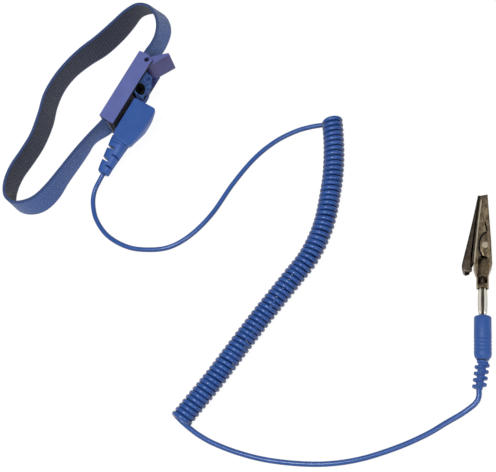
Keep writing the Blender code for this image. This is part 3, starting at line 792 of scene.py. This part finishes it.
def make_clasp():
    clasp = detail("clasp_body", SHADE["clasp"], "clasp_plastic", 0.2)
    clasp.data.materials.append(SHADE["shadow"])
    for face in clasp.data.polygons:
        x, y, z = face.center / MM + ORIGIN
        # painted shade: the channel and the web's outer face take a near-black colour for the side walls'
        # shade
        in_channel = (CHANNEL_Z[0] < z < CHANNEL_Z[1] and CHANNEL_Y[0] < y < CHANNEL_Y[1]
                      and x < CHANNEL_END_X)
        on_web = WEB_Z[0] < z < WEB_Z[1] and face.normal.y < -0.95
        if in_channel or on_web:
            face.material_index = 1
    lever = detail("clasp_lever", SHADE["lever"], "clasp_plastic", 0.15)
    lever.data.materials.append(SHADE["lever_shaded_side"])
    for face in lever.data.polygons:
        # painted shade: faces that look neither up nor down take the darker purple
        face.material_index = 1 if abs(face.normal.z) < 0.5 else 0


# ---------------------------------------------------------------- snap plug
RELIEF_LINE = [                       # x, y of the middle, z, half across, half up
    (-14.6, -34.0, 9.8, 5.4, 4.6), (-17.0, -33.9, 9.6, 5.2, 4.5), (-20.0, -33.8, 9.2, 4.9, 4.2),
    (-24.0, -33.6, 8.5, 4.5, 3.8), (-28.0, -33.4, 7.8, 4.1, 3.4), (-32.0, -33.2, 7.0, 3.7, 3.1),
    (-35.2, -33.2, 6.3, 3.4, 2.8), (-36.0, -33.2, 6.1, 2.9, 2.3),
]


RELIEF_SIDES = (-44.0, -24.0)         # y beyond the relief's right and left flank
RELIEF_ABOVE = 20.0
LEFT_NOTCHES = [(-21.9, 1.7, 0.10), (-28.9, 1.8, 0.16)]       # x, width, lean
RIGHT_NOTCHES = [-25.4, -32.0]
NOTCH_BOTTOM_Y = -34.6
RIGHT_NOTCH_Z = 6.0
GROOVE_X = -18.4
GROOVE_Z = 12.9

PLUG_TOP = [
    (10.2, -30.6), (9.8, -35.0), (8.6, -45.4), (4.0, -46.1), (-4.0, -45.7), (-9.8, -45.2),
    (-15.0, -44.2), (-18.0, -43.0), (-18.2, -38.2), (-16.0, -31.4), (-13.0, -30.6),
]
PLUG_FOOT = [
    (10.6, -30.6), (10.9, -34.0), (10.4, -38.8), (5.0, -41.2), (-3.2, -41.4), (-6.2, -40.6),
    (-9.6, -39.0), (-13.0, -38.2), (-15.2, -37.4), (-15.2, -33.0), (-13.0, -30.6),
]
PLUG_ROWS = [                         # share of the way from foot to top outline, height, inset
    (0.0, 2.7, 1.0), (0.02, 3.2, 0.3), (0.06, 3.9, 0.0), (0.30, 5.9, 0.0), (0.62, 9.3, 0.0),
    (0.86, 12.6, 0.0), (1.0, 15.8, 0.0), (1.0, 16.15, 0.1), (1.0, 16.3, 0.3),
]
PLUG_BACK_Y = -31.0                   # the flat side on the clasp, which is not inset


def make_plug_housing():
    top = [Vector(p) for p in rounded(PLUG_TOP, 1.1)]
    foot = [Vector(p) for p in rounded(PLUG_FOOT, 1.6)]
    middle = sum(top, Vector((0.0, 0.0))) / len(top)
    rings = []
    for share, height, inset in PLUG_ROWS:
        ring = []
        for a, b in zip(foot, top):
            point = a.lerp(b, share)
            if point.y < PLUG_BACK_Y:
                point += (middle - point).normalized() * inset
            ring.append((point.x, point.y, height))
        rings.append(ring)
    work = bmesh.new()
    skin(work, rings)
    housing = add_piece("plug_housing_look", work, SHADE["pvc"], angle=38.0)
    attach(housing, frame["nodes"]["plug_housing"]["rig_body"], "blue_pvc", "plug_housing")


def rounded_section(x, y, z, across, up, steps=36, power=0.62):
    """A squarish ring that faces along X."""
    ring = []
    for i in range(steps):
        c, s = cos(2 * pi * i / steps), sin(2 * pi * i / steps)
        ring.append((x, y + across * abs(c) ** power * (1 if c > 0 else -1),
                     z + up * abs(s) ** power * (1 if s > 0 else -1)))
    return ring


def make_plug_relief():
    """A squarish cone with notches from both sides and one groove over its top."""
    work = bmesh.new()
    skin(work, [rounded_section(*row) for row in smooth_rows(RELIEF_LINE, 3)])
    relief = add_piece("plug_strain_relief_look", work, SHADE["pvc"], angle=50.0)
    right, left = RELIEF_SIDES
    cuts = []
    for i, (x, width, lean) in enumerate(LEFT_NOTCHES):
        bottom = NOTCH_BOTTOM_Y + i * 0.6
        cuts.append(prism([(x - width / 2, bottom), (x + width / 2, bottom),
                           (x + width / 2 + lean * 6, left), (x - width / 2 + lean * 6, left)],
                          -2.0, RELIEF_ABOVE))
    for i, x in enumerate(RIGHT_NOTCHES):
        cuts.append(prism(box_points(x - 0.5, x + 0.5, right, NOTCH_BOTTOM_Y + i),
                          RIGHT_NOTCH_Z, RELIEF_ABOVE))
    cuts.append(prism(box_points(GROOVE_X - 0.25, GROOVE_X + 0.25, right, left), GROOVE_Z, RELIEF_ABOVE))
    carve(relief, *[add_piece("relief_cut_" + str(i), cut, SHADE["pvc"]) for i, cut in enumerate(cuts)])
    soften(relief, 0.22, 2, 40.0)
    attach(relief, "cord", "blue_pvc", "plug_strain_relief")


# ---------------------------------------------------------------- banana plug
BOOT_STEPS = 48
BOOT_R = 4.3
BOOT_GROOVE_R = 4.14
MOUTH_FLOOR = -18.0

FIN_COUNT = 8
FIN_STEP = 1.62
FIN_HALF = 0.62            # half a fin's thickness
FIN_R = 2.9
FIN_REACH = 3.55           # how far a fin sticks out to its own side
FIN_STEPS = 16

LEAF_START = 1.0
LEAF_LENGTH = 14.2
LEAF_R = 0.98
LEAF_APART = 1.05          # from the pin's axis to a rod's
LEAF_BOW = 0.35
LEAF_STEPS = 20


def make_boot():
    """A turned sleeve with four fine grooves and a deep mouth round the pin."""
    profile = [(0.0, 2.1), (0.0, 3.85), (-0.15, 4.1), (-0.5, 4.25)]
    for i in range(4):
        top = -11.2 - 1.9 * i
        profile += [(top, BOOT_R), (top - 0.3, BOOT_GROOVE_R), (top - 0.6, BOOT_GROOVE_R),
                    (top - 0.9, BOOT_R)]
    profile += [(-19.0, BOOT_R), (-20.0, 4.15), (-20.9, 3.8), (-21.3, 3.3), (-22.0, 3.1), (-22.0, 0.01)]
    work = bmesh.new()
    rows = skin(work, turned_rings(profile, BOOT_STEPS), closed_ends=False)
    floor_ring = [work.verts.new((MOUTH_FLOOR, p.co.y, p.co.z)) for p in rows[0]]
    for i in range(BOOT_STEPS):
        j = (i + 1) % BOOT_STEPS
        work.faces.new((floor_ring[i], floor_ring[j], rows[0][j], rows[0][i]))
    work.faces.new(floor_ring)
    boot = add_piece("banana_boot_look", work, SHADE["boot"], CLIP, 40.0)
    attach(boot, "cord", "blue_pvc", "banana_boot")


def make_clip_relief():
    """A core with half discs on alternate sides."""
    work = bmesh.new()
    skin(work, turned_rings([(14.1, 2.9), (13.4, 2.8), (12.6, 2.0), (0.4, 1.75), (0.0, 1.5)], 24))
    relief = add_piece("clip_strain_relief_look", work, SHADE["boot"], CLIP_RELIEF, 40.0)
    pieces = [relief]
    for i in range(FIN_COUNT):
        side = 1 if i % 2 else -1
        at = 12.2 - FIN_STEP * i
        reach = FIN_REACH - 0.02 * i
        rings = []
        for h in (at + FIN_HALF, at - FIN_HALF):
            turns = [pi * k / FIN_STEPS for k in range(FIN_STEPS + 1)]
            rings.append([(h + 0.25 * sin(a), side * reach * sin(a), FIN_R * cos(a)) for a in turns])
        fin = bmesh.new()
        skin(fin, rings)
        pieces.append(add_piece("fin_" + str(i), fin, SHADE["boot"], CLIP_RELIEF, 40.0))
    join(pieces)
    soften(relief, 0.18, 2, 40.0)
    attach(relief, "cord", "blue_pvc", "clip_strain_relief")


def make_leaves():
    """The pin's springs, as two bowed rods side by side."""
    profile = []
    for i in range(LEAF_STEPS + 1):
        t = i / LEAF_STEPS
        end = min(1.0, 8.0 * min(t, 1.0 - t) + 0.45)
        profile.append((LEAF_START + LEAF_LENGTH * t, LEAF_R * end))
    rods = []
    for name, side in (("banana_leaves_look", -1), ("second_leaf", 1)):
        rings = []
        for i, ring in enumerate(turned_rings(profile, LEAF_STEPS)):
            shift = side * (LEAF_APART + LEAF_BOW * sin(pi * i / LEAF_STEPS))
            rings.append([(x, y + shift, z) for x, y, z in ring])
        work = bmesh.new()
        skin(work, rings)
        # the rods take the nickel with painted reflection and painted shade on their sides
        rods.append(add_piece(name, work, SHADE["bright"], CLIP, 40.0))
    join(rods)
    attach(rods[0], "leaves", "nickel_plate", "banana_leaves")


# ---------------------------------------------------------------- clip
JAW_TOP = 3.7              # above the clip's axis
EAR_LINE = [(44.6, -2.4), (43.0, -0.2), (40.0, 1.3), (36.6, 1.75), (33.4, 1.2), (30.4, -0.1)]
JAW_SLIT = [(50.4, -1.2), (48.0, -1.6), (44.9, -2.3)]
JAW_RIM = [(62.6, 0.55), (50.0, 2.0), (38.0, 3.15), (27.4, 4.15)]
JAW_TAB = [(19.6, 3.1), (23.0, 3.9), (27.0, 4.3)]
TAB_Z = (3.16, 3.75)                  # clear of the sheath at every opening of the jaw
GROOVE_W = 0.85
GROOVE_DEPTH = 0.45
WINDOW = (21.0, 30.4, -3.0, 2.3)      # x and y limits, in the clip's own numbers
BARREL_CUT = (17.0, 23.0, -2.3, 2.1)
CUT_ABOVE = 9.0
SHEATH = [(22.6, 6.6), (22.8, 8.6), (23.8, 10.1), (26.2, 10.4), (33.0, 8.9), (41.0, 7.1), (52.0, 4.8),
          (64.9, 2.3), (64.9, 1.2), (52.0, 2.3), (41.0, 3.9), (33.0, 5.2), (26.0, 5.4), (23.0, 5.2)]
SHEATH_ROWS = [(2.45, 0.0), (2.75, 0.0), (3.0, -0.25), (3.08, -0.7)]       # height, outset


def ribbon(points, width, low, high):
    """A narrow flat bar along a line."""
    line = smooth_route([(*p, 0.0) for p in points], 0.7)
    left, right = [], []
    for i, here in enumerate(line):
        run = (line[min(i + 1, len(line) - 1)] - line[max(i - 1, 0)]).normalized()
        half = 0.5 * width * (0.35 if i in (0, len(line) - 1) else 1.0)
        left.append((here[0] - run[1] * half, here[1] + run[0] * half))
        right.append((here[0] + run[1] * half, here[1] - run[0] * half))
    return prism(left + right[::-1], low, high)


def make_clip():
    jaw = detail("clip_fixed_jaw", SHADE["aged"], "aged_nickel", 0.0)
    # painted shade: the cut grooves, window and barrel opening take the near-black colour
    dark = [SHADE["hollow_shade"]]
    floor = JAW_TOP - GROOVE_DEPTH
    carve(jaw, add_piece("ear_cut", ribbon(EAR_LINE, GROOVE_W, floor, CUT_ABOVE), dark, CLIP),
          add_piece("slit_cut", ribbon(JAW_SLIT, GROOVE_W, floor, CUT_ABOVE), dark, CLIP),
          add_piece("window_cut", prism(rounded(box_points(*WINDOW), 1.6), 0.5, CUT_ABOVE), dark, CLIP))
    soften(jaw, 0.12, 2)
    # painted highlight: pale strips along the jaw's rim and on its tab
    rim = add_piece("jaw_rim_look", ribbon(JAW_RIM, 0.8, JAW_TOP - 0.5, JAW_TOP + 0.1),
                    SHADE["worn"], CLIP)
    tab = add_piece("jaw_tab_look", ribbon(JAW_TAB, 0.9, *TAB_Z), SHADE["worn"], CLIP)
    for piece in (rim, tab):
        soften(piece, 0.15, 2)
        attach(piece, "clip", "aged_nickel")

    # the moving jaw and its sheath: aged nickel with painted shade
    detail("clip_moving_jaw", SHADE["aged_painted_shade"], "aged_nickel", 0.3, 3)
    outline = rounded(SHEATH, 2.2, 5)
    work = bmesh.new()
    skin(work, [ring_at(outline, height, outset) for height, outset in SHEATH_ROWS])
    sheath = add_piece("moving_jaw_sheath_look", work, SHADE["aged_painted_shade"], CLIP, 50.0)
    attach(sheath, "clip_jaw", "aged_nickel")

    barrel = detail("clip_barrel", SHADE["aged"], "aged_nickel", 0.0)
    carve(barrel, add_piece("barrel_cut", prism(box_points(*BARREL_CUT), 0.2, CUT_ABOVE), dark, CLIP))


# ---------------------------------------------------------------- pieces kept from the CAD
KEPT = {
    # lever_pin: near-black, painted shade of its hole
    "skin_plate": "steel", "anchor_pin": "pin", "lever_pin": "pin_hole_shade", "snap_stud": "nickel",
    "stud_rivet": "nickel", "snap_socket": "brass", "socket_spring": "steel", "plug_base": "pvc",
    "resistor_body": "resistor", "resistor_lead_a": "nickel", "resistor_lead_b": "nickel",
    # banana_pin: aged nickel with painted shade for its dark seam
    # clip_rivet: painted highlight
    "crimp_ferrule": "brass", "banana_pin": "aged_painted_shade", "clip_rivet": "worn", "clip_spring": "steel",
}


def dress_kept():
    for node, shade in KEPT.items():
        for material_slot in frame["nodes"][node].material_slots:
            material_slot.material = SHADE[shade]


make_camera()
make_lights()
make_floor()
cord, cord_length = make_cord()
make_band()
make_tail_hem()
make_clasp()
make_plug_housing()
make_plug_relief()
make_boot()
make_clip_relief()
make_leaves()
make_clip()
dress_kept()
